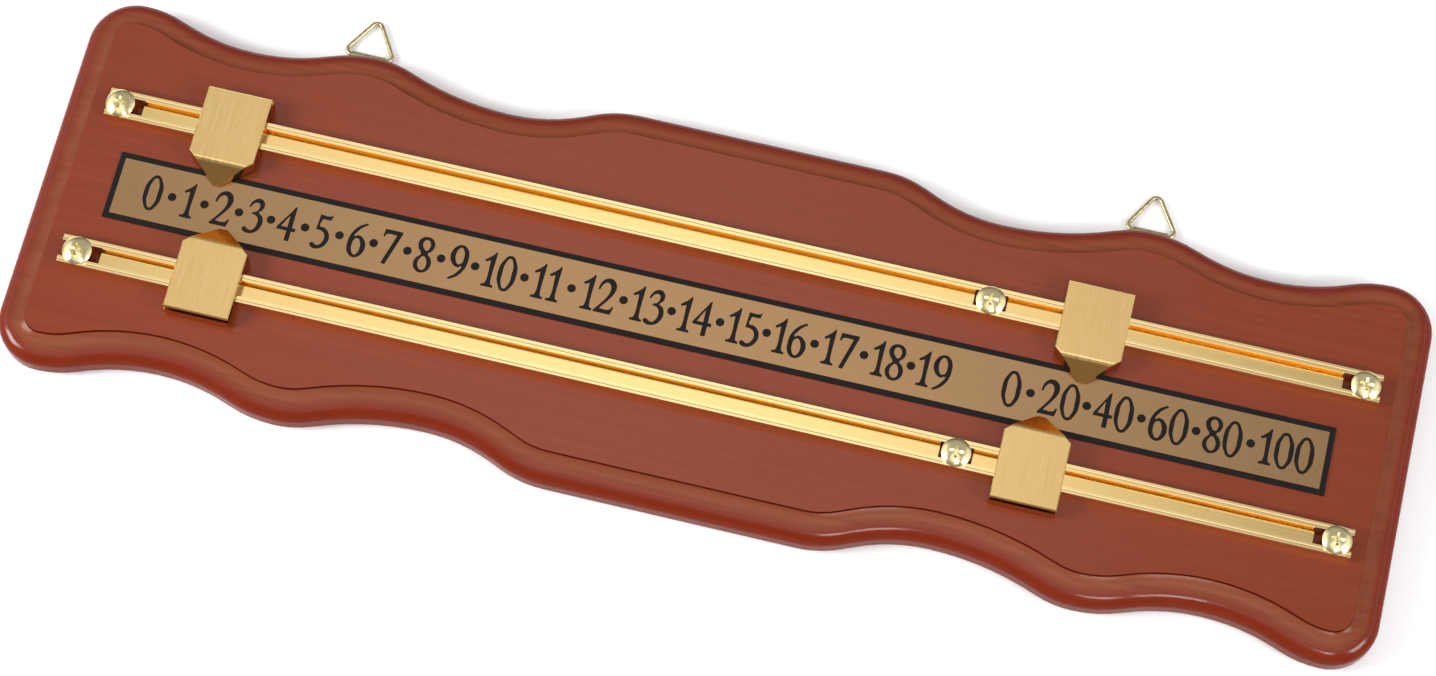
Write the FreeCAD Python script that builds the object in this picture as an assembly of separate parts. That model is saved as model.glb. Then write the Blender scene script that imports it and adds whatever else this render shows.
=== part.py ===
"""Two-player wall scoring board: shaped wooden plaque, number scale, two rails, four pointers.

Frame: X along the board to the right, Y up the board towards the hangers, Z out of the
face.  The origin is the centre of the board's back face.  All sizes are in millimetres.
"""
import FreeCAD, Part
import math
import os

V = FreeCAD.Vector

# ---------------------------------------------------------------- driving dimensions
HALF_LENGTH = 260.0         # board, half of its length
HALF_HEIGHT = 75.2          # board, half of its height at the middle crest
THICK = 15.0                # board thickness

# Outline of one quarter: a flat crest, then valley, crest, valley, crest and round corner.
BEND_R = 42.0               # bend from the flat crest down to the first valley
BEND_ANGLE = 23.8           # degrees
VALLEY1_X, VALLEY1_Y = 95.3, 64.2
VALLEY1_R_IN = 66.0         # valley arc on the side of the centre crest
VALLEY1_R_OUT = 113.0
CREST2_X, CREST2_Y = 150.5, 74.6
CREST2_R_OUT = 50.0
VALLEY2_X, VALLEY2_Y = 197.0, 65.9
VALLEY2_R_OUT = 78.0
CREST3_Y = 74.7
CORNER_R = 18.0

# Routed edge: a fine step, a shallow cove and a quarter-round bead.
FACE_INSET = 10.8           # from the outer edge to the flat face
STEP_DEPTH = 1.4
COVE_INSET = 5.4            # where the cove meets the bead, also the bead's radius
COVE_DEPTH = 2.8            # depth of the cove's low side below the face
BACK_ROUND = 1.6
RIM_INSET = 11.4            # inner boundary of the swept rim

# Number scale: a black plate with a bronze printed panel on it.
SCALE_X, SCALE_Y = -0.8, -1.5   # centre of the scale
SCALE_SIZE = (463.0, 26.8, 0.5)
SCALE_BORDER = 2.2
PANEL_THICK = 0.15

# Rails: slotted channels, floor cut away at both ends and under the middle screw.
RAIL_X = 0.6                # middle of both rails
RAIL_Y = {"upper": 28.9, "lower": -31.8}
RAIL_HALF = 243.0
RAIL_WIDTH = 10.9
RAIL_HEIGHT = 5.1
RAIL_SLOT = 6.2             # gap between the two lips
RAIL_WALL = 1.2
RAIL_FLOOR = 1.7
RAIL_LIP = 1.1
END_CUT = 8.2               # the floor's cuts end this far inward of an end screw
MIDDLE_CUT = 6.2            # and this far on each side of the middle screw
LIP_GROOVE = (0.7, 0.12)    # width and depth of the fine groove in each lip

# Rail screws, along X.
SCREW_X = {"upper": {"left": -237.4, "middle": 97.1, "right": 237.8},
           "lower": {"left": -235.9, "middle": 97.1, "right": 237.8}}
SCREW_HEAD_R = 5.5
SCREW_HEAD_H = 2.4
HEAD_EDGE = 0.5             # height of the rim under each head's dome
SCREW_SHANK_R = 1.8
SCREW_IN_WOOD = 10.0
TIP_RATIO = 1.4             # length of a screw's point over its shank's radius
CROSS_SPAN, CROSS_WIDTH, CROSS_DEPTH = 5.0, 1.0, 1.5
CROSS_RISE = 1.0            # cutter above the dome's top

# Pointers: extruded bodies that straddle a rail, with a nose towards the scale.
GAP = 0.3                   # clearance to the rail
POINTER_X = {"upper_left": -194.1, "upper_right": 136.2, "lower_left": -186.2, "lower_right": 124.6}
POINTER_WIDTH = 24.8
POINTER_HALF = 14.4         # half of the top plate, along Y
POINTER_TOP = 7.6           # above the face
POINTER_BASE = 0.95         # clears the scale
NOSE_REACH = 22.0           # from the rail's centre to the tip
NOSE_TIP_H = 1.8
NOSE_TIP_WIDTH = 3.0
SHOULDER = 1.8              # how far behind the top plate's front edge the nose begins
TOP_PLATE = 1.4
BACK_SLIT = (1.8, 7.0)      # height and depth of the slit in the back
SLIT_SETBACK = 0.5          # the top plate stands back from the lower one
EDGE_BREAK = 0.35
FOOT_WIDTH = 7.8

# Hangers: folded straps on the back, each with a triangular wire ring.
HANGER_X = {"left": -156.2, "right": 150.2}
STRAP_WIDTH = 13.0
SHEET = 0.6
STRAP_BOTTOM_Y = 53.0
STRAP_CORNER_R = 3.0
RAMP_TOP, RAMP_FOOT = 1.0, 4.0      # where the fold's back layer closes up, below the ring's axis
EYE_SLACK = 0.2
WIRE_R = 0.85
CURL_CLEARANCE = 0.05
RING_Y = 77.7               # axis of the ring's base wire
RING_HALF = 10.5            # half of the base, to the sharp corner of the wire's centre line
RING_HEIGHT = 16.9          # likewise, up to the sharp apex
RING_BEND_R = 2.2
STRAP_SCREW_Y = 58.5
STRAP_SCREW_R, STRAP_SCREW_HEAD_R, STRAP_SCREW_DEPTH = 1.5, 3.4, 9.0
STRAP_HOLE_CLEARANCE = 0.2

# Felt pads at the lower edge of the back, level with the hangers.
PAD_X, PAD_Y, PAD_R = 228.0, -56.0, 7.5

curl_r = WIRE_R + CURL_CLEARANCE + SHEET      # outer radius of the strap's curl
BACK_GAP = 2 * curl_r                         # how far the hangers stand off the back
TOUCHING = 0.01                               # lengths below this count as zero
MARGIN = 1.0                                  # how far a cutter reaches past what it cuts


# ---------------------------------------------------------------- helpers
def polygon(points):
    return Part.makePolygon([V(*p) for p in points] + [V(*points[0])])


def prism(points, direction):
    return Part.Face(polygon(points)).extrude(V(*direction))


def box(size, low):
    return Part.makeBox(size[0], size[1], size[2], V(*low))


def cylinder(radius, height, base, axis=(0, 0, 1)):
    return Part.makeCylinder(radius, height, V(*base), V(*axis))


def fuse(shapes):
    return shapes[0].multiFuse(shapes[1:]).removeSplitter() if len(shapes) > 1 else shapes[0]


# ---------------------------------------------------------------- board
def arc_segment(centre, radius, start, end, convex):
    return {"centre": centre, "radius": radius, "start": start, "end": end, "convex": convex}


def s_bend(low, high, low_radius):
    """Two tangent arcs from a valley's lowest point to a crest's highest, level at both."""
    run, rise = high[0] - low[0], high[1] - low[1]
    angle = 2 * math.degrees(math.atan2(rise, abs(run)))
    high_radius = abs(run) / math.sin(math.radians(angle)) - low_radius
    turn = angle if run > 0 else -angle
    valley = arc_segment((low[0], low[1] + low_radius), low_radius, -90, -90 + turn, False)
    crest = arc_segment((high[0], high[1] - high_radius), high_radius, 90 + turn, 90, True)
    return valley, crest


def reverse(segment):
    return dict(segment, start=segment["end"], end=segment["start"])


def quarter_segments():
    """The outline from the middle of the upper edge to the middle of the right end."""
    bottom = (VALLEY1_X, VALLEY1_Y)
    into_valley = arc_segment((bottom[0], bottom[1] + VALLEY1_R_IN), VALLEY1_R_IN,
                              -90 - BEND_ANGLE, -90, False)
    slope_end = arc_point(into_valley, into_valley["start"])
    slope_run = (HALF_HEIGHT - slope_end[1]) / math.tan(math.radians(BEND_ANGLE))
    tangent = BEND_R * math.tan(math.radians(BEND_ANGLE / 2))
    bend_x = slope_end[0] - slope_run - tangent
    bend = arc_segment((bend_x, HALF_HEIGHT - BEND_R), BEND_R, 90, 90 - BEND_ANGLE, True)
    crest2 = (CREST2_X, CREST2_Y)
    valley2 = (VALLEY2_X, VALLEY2_Y)
    crest3 = (HALF_LENGTH - CORNER_R, CREST3_Y)
    up1 = s_bend(bottom, crest2, VALLEY1_R_OUT)
    down = s_bend(valley2, crest2, s_bend(valley2, crest2, CREST2_R_OUT)[1]["radius"])
    up2 = s_bend(valley2, crest3, VALLEY2_R_OUT)
    corner = arc_segment((HALF_LENGTH - CORNER_R, CREST3_Y - CORNER_R), CORNER_R, 90, 0, True)
    return [bend, into_valley, *up1, reverse(down[1]), reverse(down[0]), *up2, corner]


def arc_radius(segment, inset):
    return segment["radius"] - inset if segment["convex"] else segment["radius"] + inset


def arc_point(segment, angle, inset=0.0):
    r = arc_radius(segment, inset)
    a = math.radians(angle)
    return segment["centre"][0] + r * math.cos(a), segment["centre"][1] + r * math.sin(a)


def quarter_wire_edges(segments, inset):
    """Edges of the inset outline, closed along both centre lines."""
    points = [(0.0, HALF_HEIGHT - inset)]
    edges = []
    for s in segments:
        first = arc_point(s, s["start"], inset)
        middle = arc_point(s, (s["start"] + s["end"]) / 2, inset)
        last = arc_point(s, s["end"], inset)
        if math.dist(points[-1], first) > TOUCHING:
            edges.append(Part.makeLine(V(*points[-1], 0), V(*first, 0)))
        edges.append(Part.Arc(V(*first, 0), V(*middle, 0), V(*last, 0)).toShape())
        points += [first, last]
    end = (HALF_LENGTH - inset, 0.0)
    loop = [points[-1], end, (0.0, 0.0), points[0]]
    edges += [Part.makeLine(V(*a, 0), V(*b, 0)) for a, b in zip(loop, loop[1:])]
    return edges


def rim_section(place):
    """Face of the routed edge; place(inset, z) gives the point."""
    cove_low = THICK - COVE_DEPTH
    cove_rise = COVE_DEPTH - STEP_DEPTH
    cove_run = FACE_INSET - COVE_INSET
    cove_r = (cove_run ** 2 + cove_rise ** 2) / (2 * cove_rise)
    half = math.asin(cove_run / cove_r) / 2
    diagonal = math.sqrt(0.5)
    cove_mid = (COVE_INSET + cove_r * math.sin(half), cove_low + cove_r * (1 - math.cos(half)))
    bead_mid = (COVE_INSET * (1 - diagonal), cove_low - COVE_INSET * (1 - diagonal))
    back_mid = (BACK_ROUND * (1 - diagonal), BACK_ROUND * (1 - diagonal))
    corners = [(RIM_INSET, 0), (RIM_INSET, THICK), (FACE_INSET, THICK), (FACE_INSET, THICK - STEP_DEPTH)]
    edges = [Part.makeLine(place(*a), place(*b)) for a, b in zip(corners, corners[1:])]
    edges.append(Part.Arc(place(*corners[-1]), place(*cove_mid), place(COVE_INSET, cove_low)).toShape())
    edges.append(Part.Arc(place(COVE_INSET, cove_low), place(*bead_mid),
                          place(0, cove_low - COVE_INSET)).toShape())
    edges.append(Part.makeLine(place(0, cove_low - COVE_INSET), place(0, BACK_ROUND)))
    edges.append(Part.Arc(place(0, BACK_ROUND), place(*back_mid), place(BACK_ROUND, 0)).toShape())
    edges.append(Part.makeLine(place(BACK_ROUND, 0), place(*corners[0])))
    return Part.Face(Part.Wire(edges))


def straight_rim(start, end):
    """Rim along a straight stretch; the board lies to the right of the direction of travel."""
    dx, dy = end[0] - start[0], end[1] - start[1]
    length = math.hypot(dx, dy)
    inward = (dy / length, -dx / length)
    section = rim_section(lambda d, z: V(start[0] + inward[0] * d, start[1] + inward[1] * d, z))
    return section.extrude(V(dx, dy, 0))


def curved_rim(segment):
    """Rim round one arc, turned about the arc's centre."""
    def place(d, z):
        return V(*arc_point(segment, segment["start"], d), z)
    centre = V(*segment["centre"], 0)
    return rim_section(place).revolve(centre, V(0, 0, 1), segment["end"] - segment["start"])


def make_board(holes):
    segments = quarter_segments()
    core = Part.Face(Part.Wire(quarter_wire_edges(segments, RIM_INSET))).extrude(V(0, 0, THICK))
    rims = []
    last = (0.0, HALF_HEIGHT)
    for s in segments:
        first = arc_point(s, s["start"])
        if math.dist(last, first) > TOUCHING:
            rims.append(straight_rim(last, first))
        rims.append(curved_rim(s))
        last = arc_point(s, s["end"])
    rims.append(straight_rim(last, (HALF_LENGTH, 0.0)))
    quarter = core.multiFuse(rims)
    half = quarter.fuse(quarter.mirror(V(0, 0, 0), V(0, 1, 0)))
    board = half.fuse(half.mirror(V(0, 0, 0), V(1, 0, 0))).removeSplitter()
    return board.cut(holes)


# ---------------------------------------------------------------- number scale
def make_scale_plate():
    x, y, z = SCALE_SIZE
    return box(SCALE_SIZE, (SCALE_X - x / 2, SCALE_Y - y / 2, THICK))


def make_scale_panel():
    x, y = SCALE_SIZE[0] - 2 * SCALE_BORDER, SCALE_SIZE[1] - 2 * SCALE_BORDER
    return box((x, y, PANEL_THICK), (SCALE_X - x / 2, SCALE_Y - y / 2, THICK + SCALE_SIZE[2]))


# ---------------------------------------------------------------- rails and their screws
def make_rail(row):
    y = RAIL_Y[row]
    w, inner, slot = RAIL_WIDTH / 2, RAIL_WIDTH / 2 - RAIL_WALL, RAIL_SLOT / 2
    z0, z1 = THICK, THICK + RAIL_HEIGHT
    lip = z1 - RAIL_LIP
    groove = (w + slot) / 2
    half_groove, groove_low = LIP_GROOVE[0] / 2, z1 - LIP_GROOVE[1]
    side = [(w, z0), (w, z1), (groove + half_groove, z1), (groove, groove_low), (groove - half_groove, z1),
            (slot, z1), (slot, lip), (inner, lip), (inner, z0 + RAIL_FLOOR)]
    profile = side + [(-v, z) for v, z in reversed(side)]
    ends = (RAIL_X - RAIL_HALF, RAIL_X + RAIL_HALF)
    rail = prism([(ends[0], y + v, z) for v, z in profile], (2 * RAIL_HALF, 0, 0))
    screws = SCREW_X[row]
    for low, high in ((ends[0], screws["left"] + END_CUT), (screws["right"] - END_CUT, ends[1]),
                      (screws["middle"] - MIDDLE_CUT, screws["middle"] + MIDDLE_CUT)):
        rail = rail.cut(box((high - low, 2 * inner, RAIL_FLOOR), (low, y - inner, THICK)))
    return rail


def rail_screw_places():
    for row, places in SCREW_X.items():
        for name, x in places.items():
            yield f"rail_screw_{row}_{name}", x, RAIL_Y[row]


def cross_recess():
    """Four tapering slots, narrower at the bottom, from a dome's top at the origin downwards."""
    shapes = []
    for turn in (0, 90):
        half, foot, w = CROSS_SPAN / 2, CROSS_SPAN / 4, CROSS_WIDTH / 2
        section = [(-half, CROSS_RISE), (half, CROSS_RISE), (half, -CROSS_DEPTH / 2), (foot, -CROSS_DEPTH),
                   (-foot, -CROSS_DEPTH), (-half, -CROSS_DEPTH / 2)]
        slot = prism([(u, -w, z) for u, z in section], (0, 2 * w, 0))
        slot.rotate(V(0, 0, 0), V(0, 0, 1), turn)
        shapes.append(slot)
    return shapes[0].fuse(shapes[1])


def screw(x, y, seat, facing, head_r, head_h, shank_r, shank_length):
    """Domed cross-head screw; seat is the height under the head."""
    dome_h = head_h - HEAD_EDGE
    dome_r = (head_r ** 2 + dome_h ** 2) / (2 * dome_h)
    half = math.asin(head_r / dome_r) / 2
    mid = (dome_r * math.sin(half), head_h - dome_r * (1 - math.cos(half)))
    tip = shank_r * TIP_RATIO
    outline = [(head_r, HEAD_EDGE), (head_r, 0), (shank_r, 0), (shank_r, tip - shank_length),
               (0, -shank_length)]
    edges = [Part.makeLine(V(0, 0, -shank_length), V(0, 0, head_h)),
             Part.Arc(V(0, 0, head_h), V(mid[0], 0, mid[1]), V(head_r, 0, HEAD_EDGE)).toShape()]
    edges += [Part.makeLine(V(a[0], 0, a[1]), V(b[0], 0, b[1])) for a, b in zip(outline, outline[1:])]
    body = Part.Face(Part.Wire(edges)).revolve(V(0, 0, 0), V(0, 0, 1), 360)
    recess = cross_recess()
    recess.translate(V(0, 0, head_h))
    body = body.cut(recess)
    if facing < 0:
        body.rotate(V(0, 0, 0), V(1, 0, 0), 180)
    body.translate(V(x, y, seat))
    return body


# ---------------------------------------------------------------- pointers
def make_pointer(place):
    """Built with its nose along +v on a rail at v = 0, then turned to its row."""
    row = place.split("_")[0]
    base, top = THICK + POINTER_BASE, THICK + POINTER_TOP
    half_w = POINTER_WIDTH / 2
    groove = RAIL_WIDTH / 2 + GAP
    under = THICK + RAIL_HEIGHT + GAP
    foot_top = THICK + RAIL_HEIGHT - RAIL_LIP - GAP
    foot_low = THICK + RAIL_FLOOR + GAP
    stem, foot = RAIL_SLOT / 2 - GAP, FOOT_WIDTH / 2
    slit_top = top - TOP_PLATE
    slit_low = slit_top - BACK_SLIT[0]
    back = -POINTER_HALF
    tip_h = THICK + NOSE_TIP_H
    profile = [(back + SLIT_SETBACK, top), (POINTER_HALF, top), (NOSE_REACH, tip_h), (NOSE_REACH, base),
               (groove, base), (groove, under), (stem, under), (stem, foot_top), (foot, foot_top),
               (foot, foot_low), (-foot, foot_low), (-foot, foot_top), (-stem, foot_top), (-stem, under),
               (-groove, under), (-groove, base), (back, base), (back, slit_low),
               (back + BACK_SLIT[1], slit_low), (back + BACK_SLIT[1], slit_top),
               (back + SLIT_SETBACK, slit_top)]
    body = prism([(-half_w, v, z) for v, z in profile], (POINTER_WIDTH, 0, 0))
    shoulder = POINTER_HALF - SHOULDER
    tip = NOSE_TIP_WIDTH / 2
    plan = [(-half_w, back - MARGIN), (half_w, back - MARGIN), (half_w, shoulder), (tip, NOSE_REACH),
            (-tip, NOSE_REACH), (-half_w, shoulder)]
    body = body.common(prism([(x, v, THICK) for x, v in plan], (0, 0, POINTER_TOP + MARGIN)))
    rim = [e for e in body.Edges if e.BoundBox.ZMin > top - TOUCHING]
    body = body.makeChamfer(EDGE_BREAK, rim)
    if row == "upper":
        body.rotate(V(0, 0, 0), V(0, 0, 1), 180)
    body.translate(V(POINTER_X[place], RAIL_Y[row], 0))
    return body


# ---------------------------------------------------------------- hangers and pads
def make_strap(x):
    """Strip folded round the ring's base wire, both layers under one screw."""
    inner = curl_r - SHEET
    z = -curl_r
    ramp_top, ramp_foot = RING_Y - RAMP_TOP, RING_Y - RAMP_FOOT
    outline = [(STRAP_BOTTOM_Y, 0), (RING_Y, 0)]
    tail = [(RING_Y, 2 * z), (ramp_top, 2 * z), (ramp_foot, -2 * SHEET), (STRAP_BOTTOM_Y, -2 * SHEET),
            (STRAP_BOTTOM_Y, 0)]
    left = x - STRAP_WIDTH / 2

    def loop(head, middle, foot):
        edges = [Part.makeLine(V(left, *a), V(left, *b)) for a, b in zip(head, head[1:])]
        edges.append(Part.Arc(V(left, *head[-1]), V(left, *middle), V(left, *foot[0])).toShape())
        edges += [Part.makeLine(V(left, *a), V(left, *b)) for a, b in zip(foot, foot[1:])]
        return Part.Face(Part.Wire(edges))
    outer = loop(outline, (RING_Y + curl_r, z), tail)
    eye_back = ramp_foot + SHEET
    eye_head = [(eye_back, -SHEET), (RING_Y, -SHEET)]
    eye_foot = [(RING_Y, 2 * z + SHEET), (ramp_top + EYE_SLACK, 2 * z + SHEET),
                (eye_back, -SHEET - EYE_SLACK), (eye_back, -SHEET)]
    eye = loop(eye_head, (RING_Y + inner, z), eye_foot)
    strap = outer.cut(eye).extrude(V(STRAP_WIDTH, 0, 0))
    corners = [e for e in strap.Edges
               if abs(e.CenterOfMass.y - STRAP_BOTTOM_Y) < TOUCHING and e.Length < 2 * SHEET + TOUCHING]
    strap = strap.makeFillet(STRAP_CORNER_R, corners)
    hole_r = STRAP_SCREW_R + STRAP_HOLE_CLEARANCE
    hole = cylinder(hole_r, 2 * SHEET, (x, STRAP_SCREW_Y, -2 * SHEET))
    return strap.cut(hole)


def make_ring(x):
    """Closed triangle of wire with rounded corners, lying in the board's plane."""
    z = -curl_r
    corners = [V(x - RING_HALF, RING_Y, z), V(x, RING_Y + RING_HEIGHT, z), V(x + RING_HALF, RING_Y, z)]
    edges, joints = [], []
    for i, corner in enumerate(corners):
        back = (corners[i - 1] - corner).normalize()
        ahead = (corners[(i + 1) % 3] - corner).normalize()
        half = back.getAngle(ahead) / 2
        reach = RING_BEND_R / math.tan(half)
        centre_way = (back + ahead).normalize()
        middle = corner + centre_way * (RING_BEND_R / math.sin(half) - RING_BEND_R)
        joints.append((corner + back * reach, middle, corner + ahead * reach))
    for i, (first, middle, last) in enumerate(joints):
        edges.append(Part.Arc(first, middle, last).toShape())
        edges.append(Part.makeLine(last, joints[(i + 1) % 3][0]))
    solids = []
    for edge in edges:
        start = edge.valueAt(edge.FirstParameter)
        way = edge.tangentAt(edge.FirstParameter)
        disc = Part.Face(Part.Wire(Part.makeCircle(WIRE_R, start, way)))
        if isinstance(edge.Curve, Part.Circle):
            turn = math.degrees(edge.Length / RING_BEND_R)
            solids.append(disc.revolve(edge.Curve.Center, edge.Curve.Axis, turn))
        else:
            solids.append(disc.extrude(way * edge.Length))
    return fuse(solids)


def make_pad(x):
    return cylinder(PAD_R, BACK_GAP, (x, PAD_Y, -BACK_GAP))


# ---------------------------------------------------------------- assembly
def build():
    parts = {}
    holes = []
    for row in ("upper", "lower"):
        parts[f"rail_{row}"] = make_rail(row)
    under = RAIL_HEIGHT + SCREW_IN_WOOD
    for name, x, y in rail_screw_places():
        parts[name] = screw(x, y, THICK + RAIL_HEIGHT, 1, SCREW_HEAD_R, SCREW_HEAD_H, SCREW_SHANK_R, under)
        holes.append(cylinder(SCREW_SHANK_R, SCREW_IN_WOOD, (x, y, THICK - SCREW_IN_WOOD)))
    for side, x in HANGER_X.items():
        parts[f"hanger_strap_{side}"] = make_strap(x)
        parts[f"hanger_ring_{side}"] = make_ring(x)
        head_h = BACK_GAP - 2 * SHEET
        reach = 2 * SHEET + STRAP_SCREW_DEPTH
        parts[f"strap_screw_{side}"] = screw(x, STRAP_SCREW_Y, -2 * SHEET, -1, STRAP_SCREW_HEAD_R, head_h,
                                             STRAP_SCREW_R, reach)
        holes.append(cylinder(STRAP_SCREW_R, STRAP_SCREW_DEPTH, (x, STRAP_SCREW_Y, 0)))
    for place in POINTER_X:
        parts[f"pointer_{place}"] = make_pointer(place)
    for side, x in (("left", -PAD_X), ("right", PAD_X)):
        parts[f"felt_pad_{side}"] = make_pad(x)
    parts["scale_plate"] = make_scale_plate()
    parts["scale_panel"] = make_scale_panel()
    parts["board"] = make_board(holes)
    return parts


os.makedirs("parts", exist_ok=True)
for name, shape in build().items():
    solid = shape.Solids[0]
    print(f"{name:28s} solids {len(shape.Solids)} valid {shape.isValid()} volume {shape.Volume:10.1f}")
    solid.exportStep(f"parts/{name}.step")
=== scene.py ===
"""Looks of the two-player wall scoring board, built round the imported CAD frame."""
import math

import bpy
from mathutils import Matrix, Vector


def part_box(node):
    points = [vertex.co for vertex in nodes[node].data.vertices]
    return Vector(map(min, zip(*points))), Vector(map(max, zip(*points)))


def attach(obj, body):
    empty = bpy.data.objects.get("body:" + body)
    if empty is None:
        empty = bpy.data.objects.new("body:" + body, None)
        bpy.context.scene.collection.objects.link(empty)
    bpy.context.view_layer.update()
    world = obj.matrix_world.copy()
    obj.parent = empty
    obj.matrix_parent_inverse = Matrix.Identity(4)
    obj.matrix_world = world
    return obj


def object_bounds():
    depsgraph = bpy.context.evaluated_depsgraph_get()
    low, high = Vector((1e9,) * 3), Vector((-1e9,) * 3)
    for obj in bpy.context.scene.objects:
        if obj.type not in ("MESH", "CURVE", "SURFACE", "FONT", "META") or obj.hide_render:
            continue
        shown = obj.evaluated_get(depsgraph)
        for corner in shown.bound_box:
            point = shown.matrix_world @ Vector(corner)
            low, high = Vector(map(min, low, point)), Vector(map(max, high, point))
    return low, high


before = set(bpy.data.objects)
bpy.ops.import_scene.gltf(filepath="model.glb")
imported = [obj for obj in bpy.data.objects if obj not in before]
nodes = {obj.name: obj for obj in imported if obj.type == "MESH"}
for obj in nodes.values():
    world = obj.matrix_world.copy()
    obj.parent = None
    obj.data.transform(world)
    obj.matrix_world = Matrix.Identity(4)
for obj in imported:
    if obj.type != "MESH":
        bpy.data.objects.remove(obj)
cad_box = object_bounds()
MM = 0.001


# ---------------------------------------------------------------- shader helpers
COLOUR_A, COLOUR_B = 6, 7   # the Mix node's two colour inputs
COLOUR_OUT = 2              # and its colour output


class Shader:
    """A material's node tree, with short calls for the few nodes used here."""

    def __init__(self, name):
        self.material = bpy.data.materials.new(name)
        self.material.use_nodes = True
        self.tree = self.material.node_tree
        self.surface = self.tree.nodes["Principled BSDF"]
        self.coords = self.tree.nodes.new("ShaderNodeTexCoord").outputs["Object"]

    def node(self, kind, settings=None, **inputs):
        made = self.tree.nodes.new("ShaderNode" + kind)
        for key, value in (settings or {}).items():
            setattr(made, key, value)
        for key, value in inputs.items():
            self.feed(made, key.replace("_", " "), value)
        return made

    def feed(self, made, key, value):
        """Links or sets one input, named by its label or numbered by its place."""
        socket = made.inputs[key]
        if isinstance(value, bpy.types.NodeSocket):
            self.tree.links.new(value, socket)
        else:
            socket.default_value = value

    def stretched(self, scale):
        return self.node("Mapping", Vector=self.coords, Scale=scale).outputs["Vector"]

    def noise(self, scale, detail=4.0, roughness=0.55, distortion=0.0):
        """Noise from 0 to 1 whose cells are about 1/scale metres along X, Y and Z."""
        made = self.node("TexNoise", Vector=self.stretched(scale), Scale=1.0, Detail=detail,
                         Roughness=roughness, Distortion=distortion)
        return made.outputs["Fac"]

    def ramp(self, value, low, high, out_low=0.0, out_high=1.0):
        made = self.node("MapRange", {"interpolation_type": "SMOOTHSTEP"}, Value=value)
        for key, number in (("From Min", low), ("From Max", high),
                            ("To Min", out_low), ("To Max", out_high)):
            made.inputs[key].default_value = number
        return made.outputs["Result"]

    def math(self, operation, first, second):
        made = self.node("Math", {"operation": operation})
        self.feed(made, 0, first)
        self.feed(made, 1, second)
        return made.outputs[0]

    def mix(self, amount, first, second):
        made = self.node("Mix", {"data_type": "RGBA"}, Factor=amount)
        self.feed(made, COLOUR_A, first)
        self.feed(made, COLOUR_B, second)
        return made.outputs[COLOUR_OUT]

    def height(self):
        return self.node("SeparateXYZ", Vector=self.coords).outputs["Z"]

    def bump(self, height, distance, strength=1.0):
        made = self.node("Bump", Height=height, Distance=distance, Strength=strength)
        self.feed(self.surface, "Normal", made.outputs["Normal"])

    def set(self, **sockets):
        for key, value in sockets.items():
            self.feed(self.surface, key.replace("_", " "), value)
        return self


def grey(value):
    return value, value, value, 1.0


def rgb(red, green, blue):
    """Linear colour from the usual 0 to 255 values."""
    def linear(v):
        v /= 255.0
        return v / 12.92 if v <= 0.04045 else ((v + 0.055) / 1.055) ** 2.4
    return linear(red), linear(green), linear(blue), 1.0


# ---------------------------------------------------------------- materials
# Heights above the board's back between which the wood's painted shade, painted sheen and shine change, and
# the pointers' and rails' painted light and shade, in metres.
STEP_TOP = (14.95 * MM, 14.85 * MM)
STEP_FOOT = (13.55 * MM, 13.40 * MM)
COVE_FOOT = (12.35 * MM, 12.00 * MM)
BEAD_SHINE = (10.2 * MM, 12.0 * MM)
COVE_SHINE = (12.3 * MM, 12.9 * MM)
POINTER_TOP = (21.6 * MM, 21.9 * MM)
RAIL_LIPS = (18.9 * MM, 19.2 * MM)


def wood():
    """Stained hardwood under satin lacquer: fine streaks along X, and on the routed edge painted shade in
    the step, a painted sheen on the cove and painted shade on the bead.
    """
    s = Shader("mahogany_lacquer")
    streaks = s.noise((6, 420, 420), 4, 0.6, 0.3)
    cloud = s.noise((7, 16, 16), 2)
    pores = s.ramp(s.noise((120, 2800, 2800), 2, 0.5), 0.62, 0.74)
    face = s.mix(s.ramp(streaks, 0.3, 0.7), rgb(117, 46, 19), rgb(124, 51, 24))
    face = s.mix(s.ramp(cloud, 0.3, 0.7, 0.0, 0.5), face, rgb(114, 45, 19))
    # The bead's darker red is painted shade on the rounded edge.
    bead_painted_shade = s.mix(s.ramp(streaks, 0.3, 0.7), rgb(109, 35, 16), rgb(115, 39, 20))
    # The cove's lighter tan is a painted sheen: light from above caught on the hollow.
    cove_painted_sheen = s.mix(s.ramp(streaks, 0.3, 0.7), rgb(118, 58, 34), rgb(128, 66, 42))
    z = s.height()
    step = s.ramp(z, *STEP_TOP)
    below = s.ramp(z, *STEP_FOOT)
    # Between the step's top edge and the cove the wood is painted near-black red: painted shade in the
    # step's crease.
    colour = s.mix(step, face, rgb(84, 22, 8))
    colour = s.mix(below, colour, cove_painted_sheen)
    colour = s.mix(s.ramp(z, *COVE_FOOT), colour, bead_painted_shade)
    bead_shine = s.math("MULTIPLY", below, s.ramp(z, *BEAD_SHINE, 0.04, 0.32))
    edge_shine = s.math("MULTIPLY", bead_shine, s.ramp(z, *COVE_SHINE, 1.0, 0.4))
    shine = s.math("ADD", edge_shine, s.ramp(step, 0.0, 1.0, 0.40, 0.0))
    colour = s.mix(s.math("MULTIPLY", pores, 0.22), colour, rgb(70, 22, 10))
    s.bump(s.math("MULTIPLY", pores, -1.0), 0.00002, 0.4)
    s.set(Base_Color=colour, Roughness=s.ramp(streaks, 0.2, 0.8, 0.14, 0.18))
    return s.set(Specular_IOR_Level=shine).material


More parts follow.
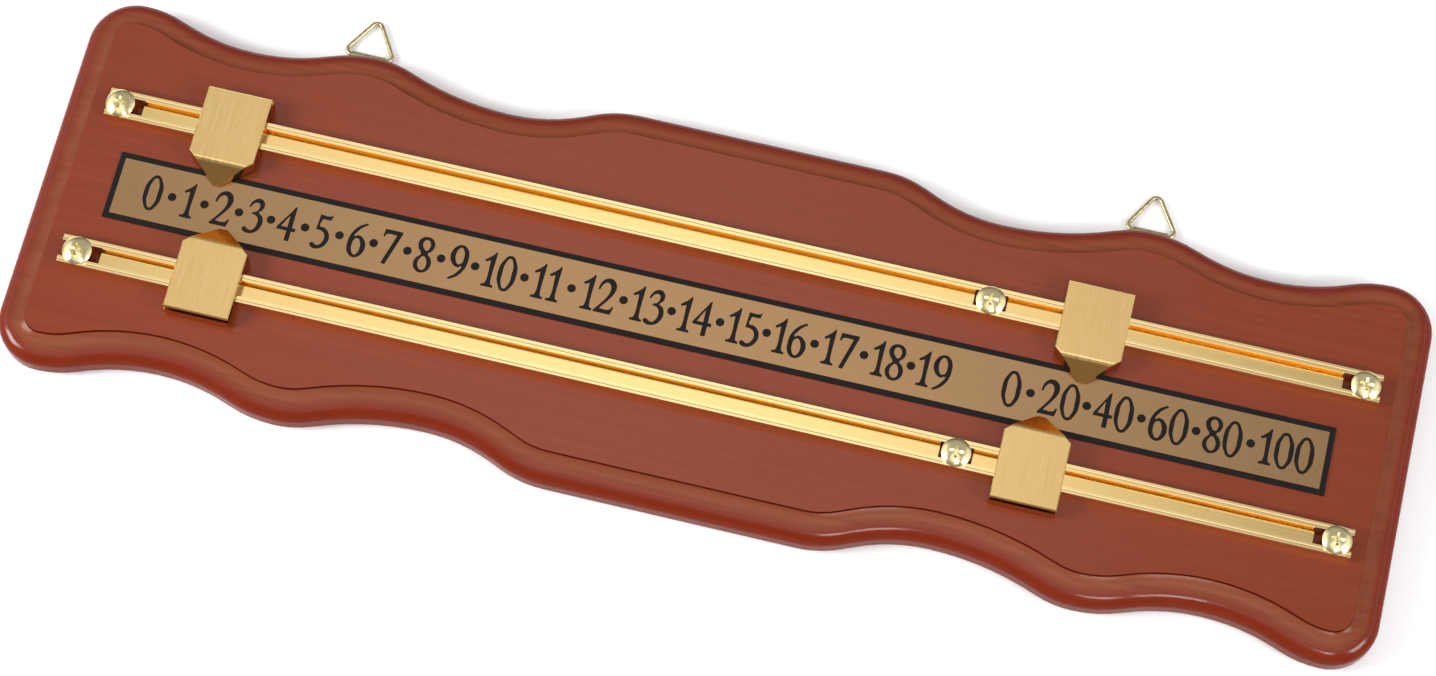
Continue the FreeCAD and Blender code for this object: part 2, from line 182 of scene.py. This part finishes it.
def brushed_gold():
    """Gold-anodised aluminium: top plates brushed along Y, bodies smooth and painted a darker orange as
    painted shade.
    """
    s = Shader("brushed_gold")
    lines = s.noise((3600, 45, 45), 3, 0.7)
    broad = s.noise((500, 14, 30), 2)
    colour = s.mix(s.ramp(lines, 0.3, 0.7), rgb(230, 188, 114), rgb(255, 222, 156))
    colour = s.mix(s.ramp(broad, 0.3, 0.7, 0.0, 0.5), colour, rgb(242, 204, 134))
    top = s.ramp(s.height(), *POINTER_TOP)
    # Below the top plate the gold is painted a darker orange: painted shade on the pointers' sides and
    # noses.
    colour = s.mix(top, rgb(222, 166, 90), colour)
    s.bump(s.math("MULTIPLY", lines, top), 0.00002, 0.5)
    roughness = s.mix(top, grey(0.14), s.ramp(lines, 0.3, 0.7, 0.20, 0.28))
    return s.set(Base_Color=colour, Roughness=roughness, Metallic=1.0).material


def rail_gold():
    """Bright gold-anodised extrusion with faint die lines along X, the lips' tops painted lighter as a
    painted highlight.
    """
    s = Shader("rail_gold")
    lines = s.noise((6, 2400, 2400), 3, 0.6)
    colour = s.mix(s.ramp(lines, 0.3, 0.7), rgb(244, 208, 136), rgb(250, 216, 146))
    # Above the lips' height the gold is painted lighter: a painted highlight on the lips' tops.
    colour = s.mix(s.ramp(s.height(), *RAIL_LIPS), colour, rgb(255, 224, 160))
    s.bump(lines, 0.00001, 0.25)
    s.set(Base_Color=colour, Roughness=s.ramp(lines, 0.3, 0.7, 0.12, 0.18))
    return s.set(Metallic=1.0).material


def pale_brass(name, dark, light, smooth, rough):
    """Thin pale brass plate, slightly uneven."""
    s = Shader(name)
    spots = s.noise((700, 700, 700), 4, 0.6)
    s.bump(spots, 0.00001, 0.3)
    s.set(Base_Color=s.mix(s.ramp(spots, 0.3, 0.7), dark, light))
    return s.set(Roughness=s.ramp(spots, 0.3, 0.7, smooth, rough), Metallic=1.0).material


def bronze_print():
    """Bronze-coloured printed panel with a fine speckle."""
    s = Shader("bronze_print")
    speckle = s.noise((2200, 2200, 2200), 3, 0.6)
    broad = s.noise((10, 25, 25), 2)
    colour = s.mix(s.ramp(speckle, 0.3, 0.7), rgb(163, 127, 88), rgb(177, 140, 100))
    colour = s.mix(s.ramp(broad, 0.35, 0.65, 0.0, 0.3), colour, rgb(180, 143, 102))
    s.bump(speckle, 0.00001, 0.3)
    s.set(Base_Color=colour, Roughness=s.ramp(speckle, 0.2, 0.8, 0.18, 0.25))
    return s.set(Metallic=0.9, Specular_IOR_Level=0.3).material


def black_print():
    """Semi-matt black ink, on the plate's border and the numerals."""
    s = Shader("black_print")
    speckle = s.noise((1800, 1800, 1800), 3, 0.6)
    colour = s.mix(speckle, rgb(12, 10, 10), rgb(24, 20, 20))
    s.set(Base_Color=colour, Roughness=s.ramp(speckle, 0.2, 0.8, 0.42, 0.55))
    return s.set(Specular_IOR_Level=0.2).material


def felt():
    """Dark green felt with short loose fibres."""
    s = Shader("felt")
    fibres = s.noise((2500, 2500, 900), 5, 0.7, 1.5)
    colour = s.mix(s.ramp(fibres, 0.25, 0.75), rgb(34, 46, 34), rgb(70, 86, 66))
    s.bump(fibres, 0.0003, 0.8)
    s.set(Base_Color=colour, Sheen_Weight=0.4, Roughness=0.95)
    return s.material


# ---------------------------------------------------------------- numerals
# Contours in tenths of a millimetre from the baseline's left end. A third value marks a corner.
C = "corner"
TENTH = 0.1 * MM
DIGITS = {
    "0": [[(33, 137), (58, 112), (67, 66), (58, 20), (33, -4), (9, 20), (0, 66), (9, 112)],
          [(33, 128), (18, 108), (14, 66), (18, 24), (33, 5), (48, 24), (52, 66), (48, 108)]],
    "1": [[(6, 0, C), (6, 6, C), (16, 9), (21, 18), (21, 106, C), (3, 97, C), (0, 102, C), (27, 127),
           (34, 138, C), (37, 137, C), (37, 18), (41, 9), (49, 6, C), (49, 0, C)]],
    "2": [[(1, 91, C), (5, 112), (17, 130), (35, 137), (55, 128), (64, 106), (60, 84), (46, 58), (27, 30),
           (16, 15, C), (54, 15), (61, 20), (65, 29, C), (69, 28, C), (63, 0, C), (0, 0, C), (0, 4, C),
           (21, 34), (39, 64), (46, 86), (45, 107), (36, 120), (24, 121), (12, 110), (5, 89, C)]],
    "3": [[(4, 101, C), (9, 117), (20, 131), (36, 137), (51, 129), (57, 113), (53, 97), (43, 83), (58, 71),
           (66, 49), (62, 25), (49, 6), (29, -3), (9, -1), (0, 7), (2, 15), (9, 16), (19, 10), (31, 7),
           (44, 19), (50, 41), (46, 62), (34, 72), (21, 74, C), (21, 78, C), (36, 86), (43, 102), (41, 116),
           (31, 122), (20, 119), (12, 110), (7, 99, C)]],
    "4": [[(46, 130), (53, 136, C), (54, 51, C), (68, 51, C), (68, 40, C), (54, 40, C), (54, 0, C),
           (39, 0, C), (39, 40, C), (0, 40, C), (0, 48, C), (45, 126)],
          [(38, 107, C), (11, 51, C), (39, 51, C)]],
    "5": [[(12, 130, C), (51, 131), (57, 136, C), (53, 117, C), (22, 117, C), (19, 84), (35, 82), (52, 70),
           (62, 47), (57, 22), (43, 4), (24, -4), (6, 0), (0, 8), (3, 15), (10, 15), (20, 9), (31, 10),
           (42, 22), (47, 44), (41, 62), (28, 70), (9, 72, C)]],
    "6": [[(54, 136, C), (57, 132, C), (41, 120), (26, 101), (18, 77), (33, 83), (54, 72), (66, 45),
           (60, 16), (47, 1), (32, -4), (15, 3), (3, 22), (0, 50), (4, 80), (18, 108), (36, 126)],
          [(34, 73), (47, 55), (50, 36), (46, 16), (34, 4), (20, 17), (15, 46), (20, 67)]],
    "7": [[(0, 105, C), (3, 132, C), (67, 132, C), (67, 124, C), (30, -3, C), (17, -1, C), (51, 117, C),
           (14, 117), (7, 113), (4, 104, C)]],
    "8": [[(31, 137), (53, 128), (61, 109), (56, 89), (43, 73), (57, 56), (64, 33), (56, 9), (33, -4),
           (11, 5), (1, 26), (5, 47), (20, 68), (7, 88), (1, 108), (9, 128)],
          [(31, 128), (46, 116), (47, 96), (37, 82), (22, 93), (16, 108), (20, 122)],
          [(31, 62), (46, 47), (50, 28), (45, 10), (33, 4), (19, 14), (14, 34), (19, 51)]],
}
TURN_X, TURN_Y = 66, 132    # the nine is the six turned by half a turn inside this box
DIGITS["9"] = [[(TURN_X - p[0], TURN_Y - p[1], *p[2:]) for p in contour] for contour in DIGITS["6"]]
DIGIT_GAP = 8.5             # between two digits, in the same units
BASELINE = -6.6 * MM        # from the panel's middle
DOT_RADIUS = 1.62 * MM
DOT_HEIGHT = 0.1 * MM
# Middles of the numbers along X, in millimetres: 0 to 19, then 0 to 100 in twenties.
FIRST_SCALE = [-215.5, -201.6, -188.5, -176.0, -163.4, -150.1, -136.3, -123.9, -110.6, -97.6,
               -81.7, -63.6, -43.8, -25.0, -6.9, 11.4, 29.0, 47.6, 66.1, 83.4]
SECOND_SCALE = [112.5, 130.6, 150.8, 171.4, 191.6, 215.2]
PRINT_LIFT = 0.03 * MM      # thickness of the print
BOLDER = 0.15 * MM          # added all round each stroke


def digit_run(text):
    """Contours of a number whose left edge is at 0, and its width."""
    x, contours = 0.0, []
    for character in text:
        glyph = DIGITS[character]
        xs = [p[0] for contour in glyph for p in contour]
        contours += [[(p[0] - min(xs) + x, *p[1:]) for p in contour] for contour in glyph]
        x += max(xs) - min(xs) + DIGIT_GAP
    return contours, x - DIGIT_GAP


def add_contour(curve, points):
    spline = curve.splines.new("BEZIER")
    spline.bezier_points.add(len(points) - 1)
    spline.use_cyclic_u = True
    for bezier, point in zip(spline.bezier_points, points):
        bezier.co = (point[0], point[1], 0)
        kind = "VECTOR" if len(point) > 2 else "AUTO"
        bezier.handle_left_type = bezier.handle_right_type = kind


def filled_curve(name, bolder=0.0):
    curve = bpy.data.curves.new(name, "CURVE")
    curve.dimensions, curve.fill_mode = "2D", "BOTH"
    curve.resolution_u = 10
    curve.extrude = PRINT_LIFT / 2
    curve.offset = bolder
    return curve


def as_mesh(curve, name, where, material):
    """The curve's own faces as a mesh piece printed on the scale."""
    holder = bpy.data.objects.new(name + "_outline", curve)
    bpy.context.scene.collection.objects.link(holder)
    evaluated = holder.evaluated_get(bpy.context.evaluated_depsgraph_get())
    mesh = bpy.data.meshes.new_from_object(evaluated)
    bpy.data.objects.remove(holder)
    mesh.name = name
    mesh.transform(Matrix.Translation(where))
    mesh.materials.clear()
    mesh.materials.append(material)
    piece = bpy.data.objects.new(name, mesh)
    bpy.context.scene.collection.objects.link(piece)
    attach(piece, "plaque")


def make_print(material):
    """Both runs of numbers, with a dot between each pair of neighbours."""
    low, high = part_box("scale_panel")
    middle = (low + high) / 2
    where = Vector((middle.x, middle.y, high.z + PRINT_LIFT / 2))
    numerals = filled_curve("scale_numerals", BOLDER)
    dots = filled_curve("scale_dots")
    labels = [[(str(n), x) for n, x in enumerate(FIRST_SCALE)],
              [(str(20 * n), x) for n, x in enumerate(SECOND_SCALE)]]
    for scale in labels:
        last_end = None
        for text, x in scale:
            contours, width = digit_run(text)
            width *= TENTH
            left = x * MM - width / 2
            for contour in contours:
                add_contour(numerals, [(left + p[0] * TENTH, BASELINE + p[1] * TENTH, *p[2:])
                                       for p in contour])
            if last_end is not None:
                centre, y, r = (last_end + left) / 2, DOT_HEIGHT, DOT_RADIUS
                add_contour(dots, [(centre + r, y), (centre, y + r), (centre - r, y), (centre, y - r)])
            last_end = left + width
    as_mesh(numerals, "scale_numerals", where, material)
    as_mesh(dots, "scale_dots", where, material)


# ---------------------------------------------------------------- dressing the CAD nodes
SOFT_EDGE = 0.12 * MM       # bevel on the rails and pointers


def dress(node, material, edge=0.0):
    """Gives a CAD node its material and, where edge is set, a bevel that wide."""
    piece = nodes[node]
    piece.data.materials.clear()
    piece.data.materials.append(material)
    if edge:
        bevel = piece.modifiers.new("edge", "BEVEL")
        bevel.width = edge
        bevel.segments = 2
        bevel.limit_method = "ANGLE"
        bevel.angle_limit = math.radians(40)
        bevel.harden_normals = True


def dress_all():
    ink = black_print()
    gold, rail = brushed_gold(), rail_gold()
    plate = pale_brass("screw_plate", rgb(244, 226, 164), rgb(255, 242, 192), 0.12, 0.20)
    wire = pale_brass("hanger_plate", rgb(170, 156, 118), rgb(206, 192, 152), 0.25, 0.38)
    pads = felt()
    dress("board", wood())
    dress("scale_plate", ink)
    dress("scale_panel", bronze_print())
    for name in nodes:
        if name.startswith("rail_screw"):
            dress(name, plate)
        elif name.startswith("rail_"):
            dress(name, rail, SOFT_EDGE)
        elif name.startswith("pointer_"):
            dress(name, gold, SOFT_EDGE)
        elif name.startswith(("hanger_", "strap_screw")):
            dress(name, wire)
        elif name.startswith("felt_pad"):
            dress(name, pads)
    make_print(ink)


# ---------------------------------------------------------------- studio
ROOM, DIM = 0.42, 0.26      # brightness behind the board and in front of it
FRONT, BEHIND = -0.75, 0.1  # Y parts of a direction between which it changes
GLOW = 0.95                 # added overhead, where the board's flat faces mirror it
GLOW_WAY = (-0.0894, 0.3128, 0.9457)
GLOW_EDGE, GLOW_CORE = math.radians(13.5), math.radians(2)
LEFT, RIGHT = 0.8, 0.6      # added at both sides
SIDE_START, SIDE_FULL = 0.5, 0.8
HORIZON = 0.35              # what is left of it all near the horizon
LOW, HIGH = 0.05, 0.45      # Z parts of a direction between which that fades in
CEILING = 0.75              # a second, wider brightening overhead, in front of the board
CEILING_WAY = (0.0, -0.30, 0.954)
CEILING_EDGE, CEILING_CORE = math.radians(32), math.radians(14)
# Name, place and side in metres, power in watts.
SOFTBOXES = [("front", (0.59, -1.21, 1.74), 0.45, 8),
             ("left", (-1.25, -0.45, 0.9), 0.6, 20),
             ("right", (1.35, -0.45, 1.0), 0.6, 13)]
FLOOR_HALF = 6.0
SENSOR, LENS = 36.0, 88.18
CAMERA_PLACE = (92.16, -434.12, 1237.9)     # millimetres
CAMERA_TARGET = (2.27, -7.38, 15.0)
CAMERA_ROLL = math.radians(1.66)


def make_floor():
    """A large pale square under the lowest part of the object."""
    mesh = bpy.data.meshes.new("floor")
    half, z = FLOOR_HALF, cad_box[0][2]
    corners = [(-half, -half, z), (half, -half, z), (half, half, z), (-half, half, z)]
    mesh.from_pydata(corners, [], [(0, 1, 2, 3)])
    floor = bpy.data.objects.new("floor", mesh)
    bpy.context.scene.collection.objects.link(floor)
    s = Shader("pale_floor")
    s.set(Base_Color=s.mix(s.noise((3, 3, 3), 2), grey(0.94), grey(0.97)), Roughness=0.9)
    mesh.materials.append(s.material)


def softbox(name, place, size, power):
    """A square area light aimed at the middle of the board."""
    light = bpy.data.lights.new(name, "AREA")
    light.shape, light.size, light.size_y, light.energy = "RECTANGLE", size, size, power
    lamp = bpy.data.objects.new(name, light)
    bpy.context.scene.collection.objects.link(lamp)
    lamp.location = place
    lamp.rotation_euler = (-Vector(place)).to_track_quat("-Z", "Y").to_euler()


def make_world():
    """A pale studio: bright overhead and a little behind the board, dimmer in front of it."""
    world = bpy.data.worlds.new("studio")
    bpy.context.scene.world = world
    world.use_nodes = True
    tree = world.node_tree

    def node(kind, settings, links):
        made = tree.nodes.new("ShaderNode" + kind)
        for key, value in settings.items():
            setattr(made, key, value)
        for key, value in links.items():
            if isinstance(value, bpy.types.NodeSocket):
                tree.links.new(value, made.inputs[key])
            else:
                made.inputs[key].default_value = value
        return made.outputs

    def ramp(value, low, high, out_low, out_high):
        return node("MapRange", {"interpolation_type": "SMOOTHSTEP"},
                    {"Value": value, "From Min": low, "From Max": high,
                     "To Min": out_low, "To Max": out_high})["Result"]

    def math_node(operation, first, second):
        return node("Math", {"operation": operation}, {0: first, 1: second})["Value"]

    way = tree.nodes.new("ShaderNodeTexCoord").outputs["Generated"]
    parts = node("SeparateXYZ", {}, {"Vector": way})
    strength = ramp(parts["Y"], FRONT, BEHIND, DIM, ROOM)
    for centre, edge, core, amount in ((GLOW_WAY, GLOW_EDGE, GLOW_CORE, GLOW),
                                       (CEILING_WAY, CEILING_EDGE, CEILING_CORE, CEILING)):
        nearness = node("VectorMath", {"operation": "DOT_PRODUCT"}, {0: way, 1: centre})["Value"]
        away = node("Math", {"operation": "ARCCOSINE"}, {0: nearness})["Value"]
        strength = math_node("ADD", strength, ramp(away, edge, core, 0.0, amount))
    for sign, amount in ((-1, LEFT), (1, RIGHT)):
        side = ramp(parts["X"], sign * SIDE_START, sign * SIDE_FULL, 0.0, amount)
        strength = math_node("ADD", strength, side)
    strength = math_node("MULTIPLY", strength, ramp(parts["Z"], LOW, HIGH, HORIZON, 1.0))
    background = tree.nodes["Background"]
    background.inputs["Color"].default_value = (1.0, 1.0, 1.0, 1.0)
    tree.links.new(strength, background.inputs["Strength"])


def make_camera():
    """Looks up the board from below its lower edge, rolled so that the board falls to the right."""
    data = bpy.data.cameras.new("camera")
    data.sensor_width, data.lens = SENSOR, LENS
    camera = bpy.data.objects.new("camera", data)
    bpy.context.scene.collection.objects.link(camera)
    camera.location = Vector(CAMERA_PLACE) * MM
    look = (Vector(CAMERA_TARGET) * MM - camera.location).to_track_quat("-Z", "Y")
    camera.rotation_mode = "QUATERNION"
    camera.rotation_quaternion = look @ Matrix.Rotation(CAMERA_ROLL, 3, "Z").to_quaternion()
    bpy.context.scene.camera = camera


def make_studio():
    make_floor()
    make_world()
    for name, place, size, power in SOFTBOXES:
        softbox(name, place, size, power)
    make_camera()
    bpy.context.scene.view_settings.view_transform = "Standard"


dress_all()
make_studio()
